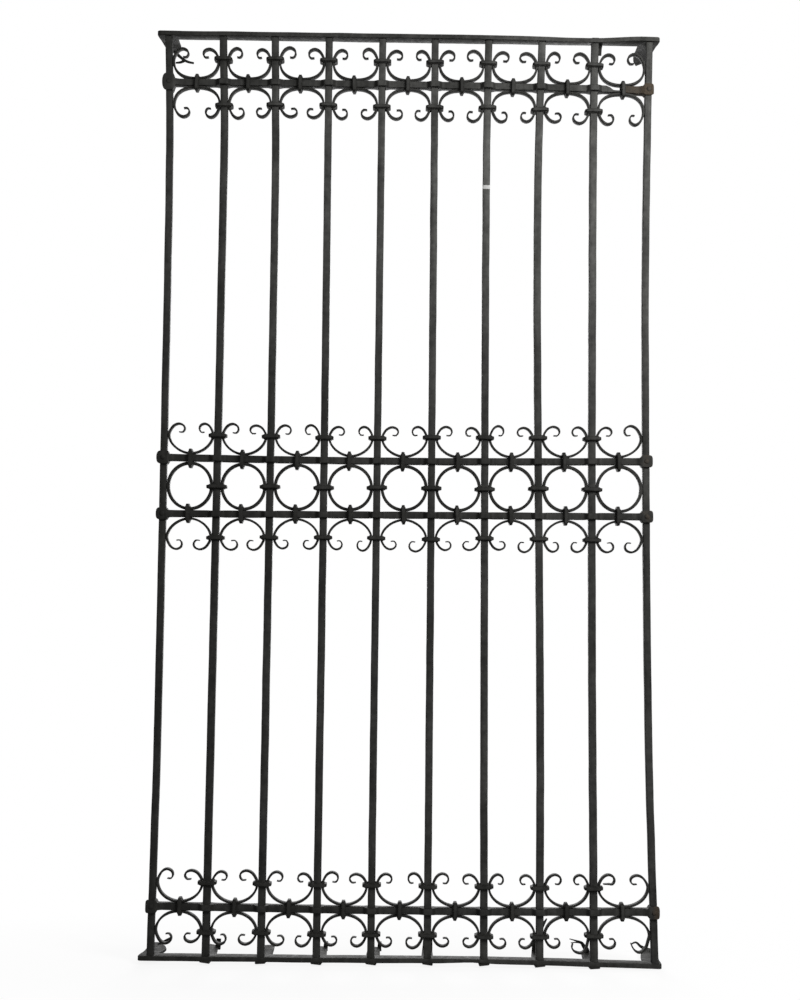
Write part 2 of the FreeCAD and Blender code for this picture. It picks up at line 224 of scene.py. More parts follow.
# Outer and inner edge of each leg: back, inward and up from the end of its rail, in millimetres
LEGS = {
    ("top_flat", -1): (((-8, 0, 0), (61, 5, 0), (97, 10, 0)),
                       ((14, 42, 0), (50, 41.6, 0), (67, 41, 0), (83, 31, 0), (93, 28, 0))),
    ("top_flat", 1): (((-8, 0, 0), (56, 4, 0), (98, 3, -1)),
                      ((14, 44, 0), (80, 44, 0), (105, 40, -1.5), (121, 32, -4))),
    ("bottom_flat", -1): (((-8, 0, 0), (48, 6, 1.5), (100, 8, 4)),
                          ((14, 42, 0), (40, 46.5, 0), (60, 50, 0.5), (72, 47, 1), (82, 43, 2), (91, 34, 3),
                           (101, 31, 4))),
    ("bottom_flat", 1): (((-8, 0, 0), (40, -3.5, 0), (83, -6.7, 0.5), (104, -5, 5)),
                         ((14, 37, 0), (58, 33.4, 0), (90, 27, 1.5), (112, 20, 8))),
}
# Rise of an even edge or underside along its rail
LEVEL = ((-FLAT_END, 0), (FLAT_END, 0))
# Rise of the top rail's front edge along it: it is knocked down beside the eighth bar
TOP_EDGE = ((-FLAT_END, -0.4 * MM), (150 * MM, 0.1 * MM), (300 * MM, -1.5 * MM), (427 * MM, -3.8 * MM),
            (520 * MM, 2.1 * MM), (FLAT_END, 1.0 * MM))
# Rise of the bottom rail's worn underside along it
BOTTOM_WEAR = ((-FLAT_END, 0), (80 * MM, 0), (110 * MM, 1.2 * MM), (150 * MM, 3.0 * MM),
               (182 * MM, 1.0 * MM), (210 * MM, 0), (FLAT_END, 0))
WAVE_LENGTH = 90 * MM
WAVE_HIGH = 0.7 * MM

# Straps under the bottom rail, in millimetres: points sideways from the bar, back and up, then widths
STRAPS = (
    (((0, -15.5, 0), (1, 45, 0), (3, 112, 3.5)), (23, 31, 22)),
    (((0, -15.5, 0), (4, 45, 0), (6, 110, 5)), (23, 33, 31)),
    (((0, -15.5, 0), (4, 45, 0), (5, 108, 4)), (23, 31, 26)),
    (((0, -15.5, 0), (4, 45, 0), (5, 106, 4)), (23, 30, 26)),
    (((0, -15.5, 0), (1, 50, 0), (2, 90, 2), (3, 100, 15), (3, 102, 34)), (23, 25, 25, 23, 20)),
    (((0, -15.5, 0), (0, 2, 0), (0, 20, 0)), (23, 24, 21)),
    (((0, -15.5, 0), (0, 45, 0), (3, 80, 3), (5, 94, 22), (10, 97, 46), (27, 98, 74)),
     (23, 26, 26, 23, 14, 3)),
    (((0, -15.5, 0), (-4, 45, 0), (-4, 98, 4)), (23, 26, 22)),
)
STRAP_THICK = 5 * MM
STRAP_THICKS = ((0, STRAP_THICK), (0.8, STRAP_THICK), (1, STRAP_THICK * 0.7))
STRAP_ROUND = 2.2 * MM
STRAP_LEAN = 0.16
# The strap at the top: thickness from end to end, and its end's share of the width
TOP_STRAP_THICKS = ((0, STRAP_THICK * 0.9), (1, STRAP_THICK * 0.8))
TOP_STRAP_TAPER = 0.9
THIN_ROUND = 1.2 * MM
THIN_STEP = 3 * MM
# Upturned ends of three straps: bar, place beside it, height and width, in millimetres
HOOKS = ((1, 13, 19, 13), (3, 14.5, 16, 11), (4, 17, 16, 10))
HOOK_BACK = 108 * MM
# Points of a hook in front of its bend and how far its tip strays aside, in millimetres
HOOK_LIES = (-12, -8, -4)
HOOK_ASIDE = 1
HOOK_PAST = 2 * MM
HOOK_TAPER = 0.8
HOOK_THICKS = ((0, 4.5 * MM), (1, 4 * MM))

# Thin split prongs, as points (sideways, back, up) with widths from end to end, in millimetres
STRAP_PRONGS = (
    (((-1, 90, 6), (-2, 98, 10), (-8, 100, 17), (-13, 100, 24), (-27, 100, 29), (-40, 99, 33)),
     (10, 11, 8, 5, 3, 2)),
    (((-13, 100, 23.5), (-25, 100, 25), (-37, 100, 24)), (3, 2)),
)
LEG_PRONGS = {
    ("bottom_flat", 1): (
        (((-8, 96, 2), (-11, 110, 5), (-23, 118, 10), (-33, 120, 18), (-44, 120, 14)), (10, 3)),),
    ("bottom_flat", -1): (
        (((-28, 88, 3), (-36, 100, 6), (-44, 110, 9), (-50, 118, 11)), (9, 7)),),
    ("top_flat", -1): (
        (((-23, 86, 0), (-26, 100, -2), (-40, 117, -9), (-50, 120, -13), (-63, 122, -15)), (9, 5)),
        (((-42, 118, -10), (-32, 120, -14), (-20, 121, -15)), (7, 4))),
}
PRONG_THICK = 3 * MM
PRONG_THICKS = ((0, PRONG_THICK * 1.3), (1, PRONG_THICK * 0.7))
PRONG_ROUND = 0.9 * MM

# Hammer marks: size of the dents across and how deep they are
DENT_SIZES = ((70 * MM, 0.45 * MM), (16 * MM, 0.16 * MM))

# Largest corner as a share of a side, angle of a sharp edge, and how fast an arris counts as sharp
FULLEST_CORNER = 0.48
SHARP_EDGE = math.radians(42)
ARRIS_GAIN = 6

# How far the fronts' paint is lightened to grey, by place across and by height: a painted sheen, strongest
# high up on the right, weaker lower down, to the left and just under the top rail
FRONT_SHEEN_ACROSS = ((-0.6, 0.4), (-0.3, 0.66), (0, 0.9), (0.3, 1.0), (0.6, 1.0))
FRONT_SHEEN_UP = ((-0.1, 0.5), (0.3, 0.48), (0.8, 0.34), (1.2, 0.37), (1.5, 0.74), (1.7, 0.92), (1.85, 0.98),
              (2.0, 0.84), (2.1, 0.6))
# How squarely a face must look to the front before it takes the painted sheen, and over what range it takes
# it fully; faces turned aside keep the dark paint as painted shade
FACING_START = 0.72
FACING_RANGE = 0.2

# Rusty places: rail, bar, aside and forward from where they cross, reach each way, amount
RUST_MARKS = (
    ("upper", LAST, 0, 9 * MM, (24 * MM, 5 * MM, 30 * MM), 0.8),
    ("upper_middle", LAST, 0, 7 * MM, (20 * MM, 8 * MM, 30 * MM), 0.65),
    ("lower_middle", LAST, 0, 7 * MM, (20 * MM, 8 * MM, 30 * MM), 0.6),
    ("lower", LAST, 8 * MM, 7 * MM, (16 * MM, 8 * MM, 30 * MM), 1.1),
    ("lower_middle", 8, 0, 0, (40 * MM, 30 * MM, 12 * MM), 0.5),
    ("upper_middle", 0, 62 * MM, 0, (16 * MM, 30 * MM, 22 * MM), 0.4),
    ("lower_middle", 1, 0, 0, (40 * MM, 30 * MM, 12 * MM), 0.4),
)
# The pale band on the sixth bar: bar, height, reach each way, amount
PALE_BAND = (6, 1.716, (40 * MM, 40 * MM, 8 * MM), 1.0)

# Paint of each kind of piece: dark and pale shade, how much painted sheen its fronts take, how rusty it is
# all over
PAINTS = {
    "bar_paint": ((0.0125, 0.0125, 0.0115), (0.0210, 0.0207, 0.0195), 1.0, 0.0),
    "rail_paint": ((0.0120, 0.0120, 0.0110), (0.0200, 0.0196, 0.0183), 0.85, 0.0),
    "scroll_paint": ((0.0110, 0.0110, 0.0100), (0.0190, 0.0186, 0.0173), 0.5, 0.0),
    "collar_paint": ((0.0115, 0.0115, 0.0105), (0.0195, 0.0191, 0.0178), 0.75, 0.0),
    "wall_paint": ((0.0110, 0.0110, 0.0100), (0.0200, 0.0192, 0.0176), 0.5, 0.05),
    "rust_paint": ((0.0140, 0.0130, 0.0118), (0.0240, 0.0216, 0.0190), 0.6, 0.75),
}
# Dark and pale shade of the painted sheen on the fronts and of rust, then dust, the arrises' rubbed paint
# and painted edge highlight, and the pale band
SHEEN_SHADES = ((0.037, 0.037, 0.0352, 1), (0.092, 0.092, 0.0872, 1))
RUST_SHADES = ((0.032, 0.0260, 0.0198, 1), (0.078, 0.0620, 0.0465, 1))
DUST_SHADE = (0.060, 0.058, 0.052, 1)
RUBBED_AND_HIGHLIT_SHADE = (0.062, 0.060, 0.056, 1)
PALE_SHADE = (0.46, 0.46, 0.45, 1)
# Clouds in the paint: scale and detail; streaks are clouds drawn out along the height
BLOTCH = (7.0, 4.0)
STREAK = (1.0, 4.0)
MOTTLE = (85.0, 6.0)
GRAIN = (520.0, 4.0)
SPECK = (240.0, 2.0)
STREAK_STRETCH = (60, 60, 7)
CLOUD_ROUGHNESS = 0.6
# Over which range a cloud or mark turns one shade into another, and from how much to how much
PAINT_TURN = (0.72, 1.08)
SHEEN_TURN = (0.68, 1.12)
PATCH_TURN = (0.3, 0.7, 0.72, 1.3)
DUST_TURN = (0.64, 0.78, 0.0, 0.35)
RUBBED_AND_HIGHLIT_TURN = (0.35, 0.7, 0.02, 0.3)
PALE_TURN = (0.66, 0.74)
RUST_TURN = (0.85, 1.35)
GRAIN_TURN = (0.35, 0.65)
GLOSS_TURN = (0.3, 0.7, 0.56, 0.75)
# How much streaks add to blotches, and mottle to rust and to the relief
STREAK_SHARE = 0.8
RUST_MOTTLE = 0.9
RELIEF_MOTTLE = 1.6
RELIEF_STRENGTH = 0.4
RELIEF_HEIGHT = 0.4 * MM
PAINT_SHINE = 0.05
RUST_ROUGHNESS = 0.9

# The photograph's camera
CAMERA_PLACE = Vector((-14.5 * MM, -2939 * MM, 771 * MM))
CAMERA_PITCH = math.radians(4.541)
CAMERA_ROLL = math.radians(0.577)
CAMERA_YAW = 0.0017
SENSOR = 36.0
FOCAL_PIXELS = 1325
IMAGE_HEIGHT = 1000

# Soft light: name, place, target, size, power
LIGHTS = (("key", (1.5, -1.5, 2.0), (0.3, 0, 1.4), 0.9, 61),
          ("fill", (-2.0, -3.2, 1.3), (0, 0, 1.0), 2.0, 7),
          ("back", (0, 3.2, 1.6), (0, 0, 1.0), 2.0, 120))
WORLD_LIGHT = 0.20
WHITE = (1, 1, 1, 1)

# Pale floor: how much of its shading shows, where that fades out, its colour and the colour it throws back
FLOOR_HALF = 9.0
FLOOR_SHADED = 0.11
FLOOR_FADE = (0.45, 1.1)
FLOOR_STRETCH = (0.8, 2.0, 0)
FLOOR_SHADE = (0.9, 0.9, 0.9, 1)
FLOOR_BOUNCE = (0.2, 0.2, 0.2, 1)


# Lines and meshes

def ease(share):
    share = min(max(share, 0), 1)
    return share * share * (3 - 2 * share)


def through(points, place):
    """Value at a place on a smooth line through (place, value) points."""
    step = 0
    while step < len(points) - 2 and points[step + 1][0] < place:
        step += 1
    (start, first), (end, second) = points[step], points[step + 1]
    before = points[max(step - 1, 0)]
    after = points[min(step + 2, len(points) - 1)]
    run = end - start
    share = (place - start) / run
    leave = (second - before[1]) / (end - before[0]) * run
    arrive = (after[1] - first) / (after[0] - start) * run
    square = share ** 2
    cube = share ** 3
    return ((2 * cube - 3 * square + 1) * first + (cube - 2 * square + share) * leave
            + (3 * square - 2 * cube) * second + (cube - square) * arrive)


def curve_through(points, step):
    """Points about one step apart on a smooth curve through the given ones."""
    lengths = [0]
    for here, beyond in zip(points, points[1:]):
        lengths.append(lengths[-1] + (beyond - here).length)
    count = max(2, round(lengths[-1] / step))
    axes = [[(length, point[axis]) for length, point in zip(lengths, points)] for axis in range(3)]
    return [Vector([through(line, lengths[-1] * i / count) for line in axes]) for i in range(count + 1)]


def rounded(low_u, high_u, low_v, high_v, radius, steps=3):
    """Outline of a rectangle with rounded corners, as (u, v) points."""
    radius = min(radius, FULLEST_CORNER * (high_u - low_u), FULLEST_CORNER * (high_v - low_v))
    centres = ((high_u - radius, high_v - radius), (low_u + radius, high_v - radius),
               (low_u + radius, low_v + radius), (high_u - radius, low_v + radius))
    points = []
    for quarter, (u, v) in enumerate(centres):
        for step in range(steps + 1):
            turn = (quarter + step / steps) * math.pi / 2
            points.append((u + radius * math.cos(turn), v + radius * math.sin(turn)))
    return points


def loop(centre, across, up, outline):
    return [centre + across * u + up * v for u, v in outline]


def sweep(loops, closed=False):
    """Vertices and faces of a skin over a row of loops, capped unless it is closed."""
    count = len(loops[0])
    vertices = [point for points in loops for point in points]
    faces = []
    for here in range(len(loops) if closed else len(loops) - 1):
        beyond = (here + 1) % len(loops)
        for point in range(count):
            following = (point + 1) % count
            faces.append((here * count + point, here * count + following,
                          beyond * count + following, beyond * count + point))
    if not closed:
        faces.append(tuple(reversed(range(count))))
        faces.append(tuple(range(len(vertices) - count, len(vertices))))
    return vertices, faces


def flat_bar(path, widths, thicks, across, arris):
    """Flat iron along a path, its width running across; widths and thicknesses go from end to end."""
    loops = []
    for place, point in enumerate(path):
        before = path[max(place - 1, 0)]
        after = path[min(place + 1, len(path) - 1)]
        along = (after - before).normalized()
        side = (across - along * across.dot(along)).normalized()
        share = place / (len(path) - 1)
        half_wide = through(widths, share) / 2
        half_thick = through(thicks, share) / 2
        outline = rounded(-half_wide, half_wide, -half_thick, half_thick, arris)
        loops.append(loop(point, side, along.cross(side), outline))
    return sweep(loops)


def hammered(point):
    """A point moved as if the surface had been worked with a hammer."""
    moved = point.copy()
    for size, depth in DENT_SIZES:
        moved += noise.noise_vector(point / size) * depth
    return moved


def make_mesh(name, shells):
    vertices = []
    faces = []
    for shell_vertices, shell_faces in shells:
        start = len(vertices)
        vertices += [hammered(point) for point in shell_vertices]
        faces += [tuple(start + index for index in face) for face in shell_faces]
    mesh = bpy.data.meshes.new(name)
    mesh.from_pydata(vertices, [], faces)
    clean = bmesh.new()
    clean.from_mesh(mesh)
    bmesh.ops.recalc_face_normals(clean, faces=clean.faces)
    clean.to_mesh(mesh)
    clean.free()
    return mesh


def pierced(mesh, cutters):
    """The mesh with holes where the cutter shells are."""
    body = bpy.data.objects.new("body", mesh)
    cutter = bpy.data.objects.new("cutter", make_mesh("cutter", cutters))
    for piece in (body, cutter):
        bpy.context.scene.collection.objects.link(piece)
    cut = body.modifiers.new("holes", "BOOLEAN")
    cut.operation = "DIFFERENCE"
    cut.solver = "EXACT"
    cut.object = cutter
    depsgraph = bpy.context.evaluated_depsgraph_get()
    made = bpy.data.meshes.new_from_object(body.evaluated_get(depsgraph))
    bpy.data.objects.remove(body)
    bpy.data.objects.remove(cutter)
    return made


def joined(mesh, shells):
    """The mesh with more shells beside it."""
    whole = bmesh.new()
    whole.from_mesh(mesh)
    for shell in shells:
        whole.from_mesh(make_mesh("part", [shell]))
    whole.to_mesh(mesh)
    whole.free()
    return mesh


def strength_at(point, places):
    """The strongest effect at a point of any of the places, each a centre, reach and amount."""
    strength = 0
    for centre, size, amount in places:
        away = point - centre
        reach = sum((away[axis] / size[axis]) ** 2 for axis in range(3))
        strength = max(strength, amount * math.exp(-reach))
    return strength


def mark(mesh, name, values):
    mesh.attributes.new(name, "FLOAT", "POINT").data.foreach_set("value", values)


def edge_sharpness(mesh):
    """How sharp the edge at each vertex is, from 0 on a flat face to 1 on an arris."""
    shape = bmesh.new()
    shape.from_mesh(mesh)
    values = [min(max((vertex.calc_shell_factor() - 1.0) * ARRIS_GAIN, 0), 1) for vertex in shape.verts]
    shape.free()
    return values


def painted_front_sheen(vertex):
    """How much painted sheen a point of the surface takes: only what faces the front takes it."""
    facing = min(max((-vertex.normal.y - FACING_START) / FACING_RANGE, 0), 1)
    return facing * through(FRONT_SHEEN_ACROSS, vertex.co.x) * through(FRONT_SHEEN_UP, vertex.co.z)


def add_piece(node, mesh, material):
    """A finished piece that stands for a solid and rides with it."""
    mesh.polygons.foreach_set("use_smooth", [True] * len(mesh.polygons))
    mesh.set_sharp_from_angle(angle=SHARP_EDGE)
    mark(mesh, "rust", [strength_at(vertex.co, RUST_PLACES) for vertex in mesh.vertices])
    mark(mesh, "worn", [strength_at(vertex.co, WORN_PLACES) for vertex in mesh.vertices])
    # Arrises: rubbed paint, and a painted edge highlight
    mark(mesh, "arris", edge_sharpness(mesh))
    # The painted sheen that lightens front-facing faces
    mark(mesh, "front", [painted_front_sheen(vertex) for vertex in mesh.vertices])
    mesh.materials.clear()
    mesh.materials.append(material)
    piece = bpy.data.objects.new(f"{node}_forged", mesh)
    bpy.context.scene.collection.objects.link(piece)
    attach(piece, "root")
    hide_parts(node)


# Where the bars, rails and bays are, read from the solids

def corners(node):
    return [vertex.co.copy() for vertex in nodes[node].data.vertices]


def bends(node):
    """Height and centre of a bar at each place where its solid bends, from foot to head."""
    groups = []
    for corner in sorted(corners(node), key=lambda co: co.z):
        if not groups or corner.z - groups[-1][-1].z > BEND_APART:
            groups.append([])
        groups[-1].append(corner)
    line = []
    for group in groups:
        z = sum(co.z for co in group) / len(group)
        x = sum(co.x for co in group) / len(group)
        line.append((z, x))
    return line


BAR_LINES = [bends(name) for name in BAR_NAMES]
HALF_BARS = [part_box(name)[1].y for name in BAR_NAMES]


def bar_x(index, z):
    return through(BAR_LINES[index], z)


def rail_line(*solids):
    """Place and height of a rail's middle at each bar."""
    points = [corner for solid in solids for corner in corners(solid) if abs(corner.y) < NEAR_PLANE]
    level = sum(point.z for point in points) / len(points)
    line = []
    for index in range(LAST + 1):
        x = bar_x(index, level)
        near = [point.z for point in points if abs(point.x - x) < NEAR_BAR]
        line.append((x, (min(near) + max(near)) / 2))
    return line


RAIL_LINES = {name: rail_line(f"{name}_rail") for name in (*RAIL_NAMES[1:], "top_flat", "bottom_flat")}
RAIL_LINES["upper"] = rail_line("upper_rail", "upper_rail_end")


def rail_z(rail, x):
    """Height of a rail's middle, with its bow."""
    line = RAIL_LINES[rail]
    height = through(line, x)
    if rail in RAIL_BOW:
        left, right = line[0][0], line[-1][0]
        bow = [(left + (right - left) * place / 3, rise) for place, rise in enumerate(RAIL_BOW[rail])]
        height += through(bow, x)
    return height


def level_of(rail):
    return rail_z(rail, 0)


def bay_middle(bay, z):
    return (bar_x(bay, z) + bar_x(bay + 1, z)) / 2


def ring_z(x):
    return (rail_z("upper_middle", x) + rail_z("lower_middle", x)) / 2


def on_rail(rail, index):
    """Where a bar crosses a rail."""
    x = bar_x(index, level_of(rail))
    return Vector((x, -RAIL_HALF_DEPTH, rail_z(rail, x)))


# Centre, reach each way and amount of the rusty places and of the pale band
RUST_PLACES = [(on_rail(rail, index) + X * aside - Y * forward, reach, amount)
               for rail, index, aside, forward, reach, amount in RUST_MARKS]
band_bar, band_height, band_reach, band_amount = PALE_BAND
WORN_PLACES = [(Vector((bar_x(band_bar, band_height), 0, band_height)), band_reach, band_amount)]


# Forged pieces

def square_bar(index):
    """An upright with softened arrises, from the bottom flat rail to the top one."""
    half = HALF_BARS[index]
    outline = rounded(-half, half, -half, half, BAR_ARRIS, BAR_ARRIS_STEPS)
    foot = rail_z("bottom_flat", BAR_LINES[index][0][1]) - FLAT_THICK / 2
    head = rail_z("top_flat", BAR_LINES[index][-1][1]) + FLAT_THICK / 2 - SEAT
    steps = round((head - foot) / BAR_STEP)
    heights = [foot + (head - foot) * step / steps for step in range(steps + 1)]
    return sweep([loop(Vector((bar_x(index, z), 0, z)), X, Y, outline) for z in heights])


def palm_size(rail, stile):
    """Half height, reach past the stile's middle and squareness of a palm."""
    half, past, square = LEFT_PALMS[rail] if stile == 0 else RIGHT_PALMS[rail]
    return half, HALF_BARS[stile] + past, square


def palm_half(rail, stile, inward):
    """Half height of a rail's end: it flares from the rail into a palm."""
    full, reach, square = palm_size(rail, stile)
    half = HALF_RAIL + (full - HALF_RAIL) * ease((FLARE_START - inward) / (FLARE_START - FLARE_FULL))
    if inward < 0:
        share = min(-inward / reach, PALM_TIP)
        half *= (1 - share ** square) ** (1 / square)
    return half


def rail_stations(rail):
    """Places along a rail where its section changes, from end to end."""
    level = level_of(rail)
    stations = []
    for index, inward in ((0, 1), (LAST, -1)):
        stile = bar_x(index, level)
        reach = palm_size(rail, index)[1]
        near_end = [-reach * math.sin(math.pi / 2 * step / PALM_STEPS) for step in range(PALM_STEPS + 1)]
        near_end += [(NECK_START + NECK_PAST) * step / NECK_STEPS for step in range(1, NECK_STEPS + 1)]
        rail_end = HALF_BARS[index] + END_CLEAR
        near_end += [rail_end + END_STEP, rail_end - END_STEP]
        stations += [stile + inward * step for step in near_end]
    for index in INNER_BARS:
        bar = bar_x(index, level)
        stations += [bar + EYE_REACH * step / EYE_STEPS for step in range(-EYE_STEPS - 1, EYE_STEPS + 2)]
    left, right = bar_x(0, level), bar_x(LAST, level)
    plain = round((right - left) / RAIL_STEP)
    for step in range(plain + 1):
        x = left + (right - left) * step / plain
        if min(abs(x - other) for other in stations) > STATION_GAP:
            stations.append(x)
    return sorted(stations)


def rail_section(rail, x):
    """Front, back and half height of a rail at a place along it."""
    level = level_of(rail)
    stile = 0 if x < 0 else LAST
    inward = abs(bar_x(stile, level)) - abs(x)
    half_stile = HALF_BARS[stile]
    gap = min(abs(x - bar_x(index, level)) for index in INNER_BARS)
    slope = min(max((EYE_REACH - gap) / (EYE_REACH - EYE_CHEEK), 0), 1)
    swell = EYE_STRAIGHT * slope + (1 - EYE_STRAIGHT) * ease(slope)
    neck = ease((NECK_START - inward) / (NECK_START - NECK_END))
    lap = (PALM_THICK - RAIL_HALF_DEPTH + half_stile) * neck
    front = -RAIL_HALF_DEPTH - EYE_FRONT * swell - lap
    if inward > half_stile + END_CLEAR:
        back = RAIL_HALF_DEPTH + EYE_BACK * swell
    else:
        back = -half_stile - PALM_GAP
    return front, back, palm_half(rail, stile, inward) - EYE_PINCH * swell


def rail_piece(rail, start, end, low, high):
    """The stretch of a pierced rail between two places; low and high limit its height at each place."""
    loops = []
    for x in rail_stations(rail):
        if start <= x <= end:
            front, back, half = rail_section(rail, x)
            outline = rounded(front, back, -max(half, low(x)), min(half, high(x)), RAIL_ARRIS)
            loops.append(loop(Vector((x, 0, rail_z(rail, x))), Y, Z, outline))
    return sweep(loops)


def bar_cutters(places, half_high):
    """Square shells that cut the bars' holes, one round each given place of a bar."""
    cutters = []
    for index, centre in places:
        half = HALF_BARS[index] + EYE_CLEAR
        outline = rounded(-half, half, -half, half, HOLE_CORNER, steps=1)
        cutters.append(sweep([loop(centre + Z * rise, X, Y, outline) for rise in (-half_high, half_high)]))
    return cutters


def bar_places(rail, start, end):
    found = [(index, on_rail(rail, index)) for index in range(LAST + 1)]
    return [(index, Vector((place.x, 0, place.z))) for index, place in found if start < place.x < end]


def plain_rail(rail, material):
    left, right = (bar_x(index, level_of(rail)) for index in (0, LAST))
    whole = rail_piece(rail, 2 * left, 2 * right, lambda x: 0, lambda x: TALLEST_PALM)
    holes = bar_cutters(bar_places(rail, left + STILE_CLEAR, right - STILE_CLEAR), RAIL_CUT)
    body = make_mesh(f"{rail}_rail", [whole])
    add_piece(f"{rail}_rail", pierced(body, holes), material)


def mended_rail(material, rusty):
    """The upper rail: the long piece thins to a tongue, and a rusty short piece runs on to the stile."""
    level = level_of("upper")
    left, right = bar_x(0, level), bar_x(LAST, level)
    bar = bar_x(LAST - 1, level)
    meet = bay_middle(LAST - 1, level)

    def tongue_top(x):
        fall = ease((x - bar - TONGUE_START) / (TONGUE_END - TONGUE_START))
        return TALLEST_PALM - (TALLEST_PALM + HALF_RAIL - TONGUE_HEIGHT) * fall

    def sag(x):
        return HALF_RAIL + MENDED_SAG * ease((x - meet) / (right - meet))

    long_piece = make_mesh("upper_rail", [rail_piece("upper", 2 * left, meet, lambda x: 0, tongue_top)])
    holes = bar_cutters(bar_places("upper", left + STILE_CLEAR, meet), RAIL_CUT)
    add_piece("upper_rail", pierced(long_piece, holes), material)
    short_piece = rail_piece("upper", meet, 2 * right, sag, lambda x: TALLEST_PALM)
    add_piece("upper_rail_end", make_mesh("upper_rail_end", [short_piece]), rusty)


def rivet_head(rail, index):
    """A low hammered dome on a palm."""
    place = on_rail(rail, index)
    centre = Vector((place.x, -HALF_BARS[index] - PALM_THICK + SEAT, place.z))
    loops = []
    for step in range(RIVET_STEPS + 1):
        rise = math.pi / 2 * step / RIVET_CLOSES
        reach = RIVET_HALF * math.cos(rise)
        front = centre - Y * RIVET_HIGH * math.sin(rise)
        turns = [2 * math.pi * side / RIVET_SIDES for side in range(RIVET_SIDES)]
        loops.append([front + (X * math.cos(turn) + Z * math.sin(turn)) * reach for turn in turns])
    return sweep(loops)


def collar_rise(rail, way):
    """How far the bar collars above or under a rail are from its middle."""
    return COLLAR_RISE + (TOP_ROW_LIFT if (rail, way) == ("upper", 1) else 0)


def scroll(bay, rail, way, form, rises):
    """A C-scroll that lies on a rail, bellies out to the bars and ends in two curls."""
    collars = collar_rise(rail, way)
    middle = bay_middle(bay, level_of(rail))
    base = HALF_RAIL + SEAT + SCROLL_THICK / 2
    halves = {}
    for side, index in ((-1, bay), (1, bay + 1)):
        bar = bar_x(index, level_of(rail) + way * collars)
        seat = (bar - middle) * side - HALF_BARS[index] - SEAT - SCROLL_THICK / 2
        points = []
        for step in range(1, BELLY_STEPS):
            turn = math.pi / 2 * step / BELLY_STEPS
            points.append((seat * math.sin(turn) ** (2 / form),
                           collars - (collars - base) * math.cos(turn) ** (2 / form)))
        points.append((seat, collars))
        wide = hand.uniform(*CURL_WIDE)
        high = hand.uniform(*rises)
        curl = [(inward * wide, rise * high) for inward, rise in CURL]
        if (bay, rail, way, side) == BENT_CURL:
            curl.append(BENT_TIP)
        curl = PULLED_CURLS.get((bay, rail, way, side), curl)
        points += [(seat - inward, collars + rise) for inward, rise in curl]
        halves[side] = [(middle + side * u, v) for u, v in points]
    line = halves[-1][::-1] + [(middle, base)] + halves[1]
    path = curve_through([Vector((x, 0, rail_z(rail, x) + way * v)) for x, v in line], FLAT_IRON_STEP)
    return flat_bar(path, SCROLL_DEPTHS, SCROLL_THICKS, Y, FLAT_IRON_ARRIS)


def ring(bay):
    """A flat-iron ring that fills its bay between the two middle rails."""
    level = ring_z(bay_middle(bay, level_of("lower_middle")))
    left = bar_x(bay, level) + HALF_BARS[bay] + SEAT
    right = bar_x(bay + 1, level) - HALF_BARS[bay + 1] - SEAT
    middle = Vector(((left + right) / 2, 0, level))
    wide = (right - left) / 2 - RING_THICK / 2
    high = rail_z("upper_middle", middle.x) - level - HALF_RAIL - SEAT - RING_THICK / 2
    outline = rounded(-RING_THICK / 2, RING_THICK / 2, -SCROLL_DEPTH / 2, SCROLL_DEPTH / 2, FLAT_IRON_ARRIS)
    loops = []
    for step in range(RING_STEPS):
        turn = 2 * math.pi * step / RING_STEPS
        out = (X * math.cos(turn) / wide + Z * math.sin(turn) / high).normalized()
        centre = middle + X * wide * math.cos(turn) + Z * high * math.sin(turn)
        loops.append(loop(centre, out, Y, outline))
    return sweep(loops, closed=True)


def ribbed(thick, wide):
    """Section of a collar, flat inside and ribbed outside, as (out, along) points."""
    half = wide / 2
    points = [(0, -half * COLLAR_INSIDE)]
    for step in range(COLLAR_STEPS + 1):
        along = 2 * step / COLLAR_STEPS - 1
        fall = ease((abs(along) - COLLAR_CREST) / COLLAR_SLOPE)
        out = thick * (1 - (1 - COLLAR_SHOULDER) * fall - COLLAR_CROWN * along ** 2)
        points.append((out, half * along))
    return points + [(0, half * COLLAR_INSIDE)]


def collar(centre, across, along, half_across, half_deep, section):
    """A band bent round a bundle; across and Y span its loop, along is the way the bundle runs."""
    lean = hand.uniform(-COLLAR_LEAN_DEGREES, COLLAR_LEAN_DEGREES)
    tilt = Matrix.Rotation(math.radians(lean), 3, "Y")
    path = rounded(-half_across, half_across, -half_deep, half_deep, COLLAR_CORNER, COLLAR_CORNER_STEPS)
    loops = []
    for place, (u, v) in enumerate(path):
        before = path[place - 1]
        after = path[(place + 1) % len(path)]
        out = Vector((after[1] - before[1], before[0] - after[0])).normalized()
        out_3d = across * out.x + Y * out.y
        point = across * u + Y * v
        loops.append([centre + tilt @ (point + out_3d * reach + along * run) for reach, run in section])
    return sweep(loops, closed=True)


def bar_collar(index, z, room, thick):
    z += hand.uniform(-COLLAR_SLIP, COLLAR_SLIP)
    half = HALF_BARS[index]
    centre = Vector((bar_x(index, z), 0, z))
    return collar(centre, X, Z, half + room, half + SEAT, ribbed(thick, COLLAR_WIDE))


def rail_collar(bay, rail, above, below):
    slip = hand.uniform(*RAIL_COLLAR_SLIP)
    if (rail, bay) == ("upper", LAST - 1):
        slip = MEND_COLLAR_SLIP
    x = bay_middle(bay, level_of(rail)) + slip
    half = HALF_RAIL + 2 * SEAT + (above + below) / 2
    centre = Vector((x, 0, rail_z(rail, x) + (above - below) / 2))
    section = ribbed(RAIL_COLLAR_THICK[rail], RAIL_COLLAR_WIDE)
    return collar(centre, Z, X, half, RAIL_HALF_DEPTH + SEAT, section)


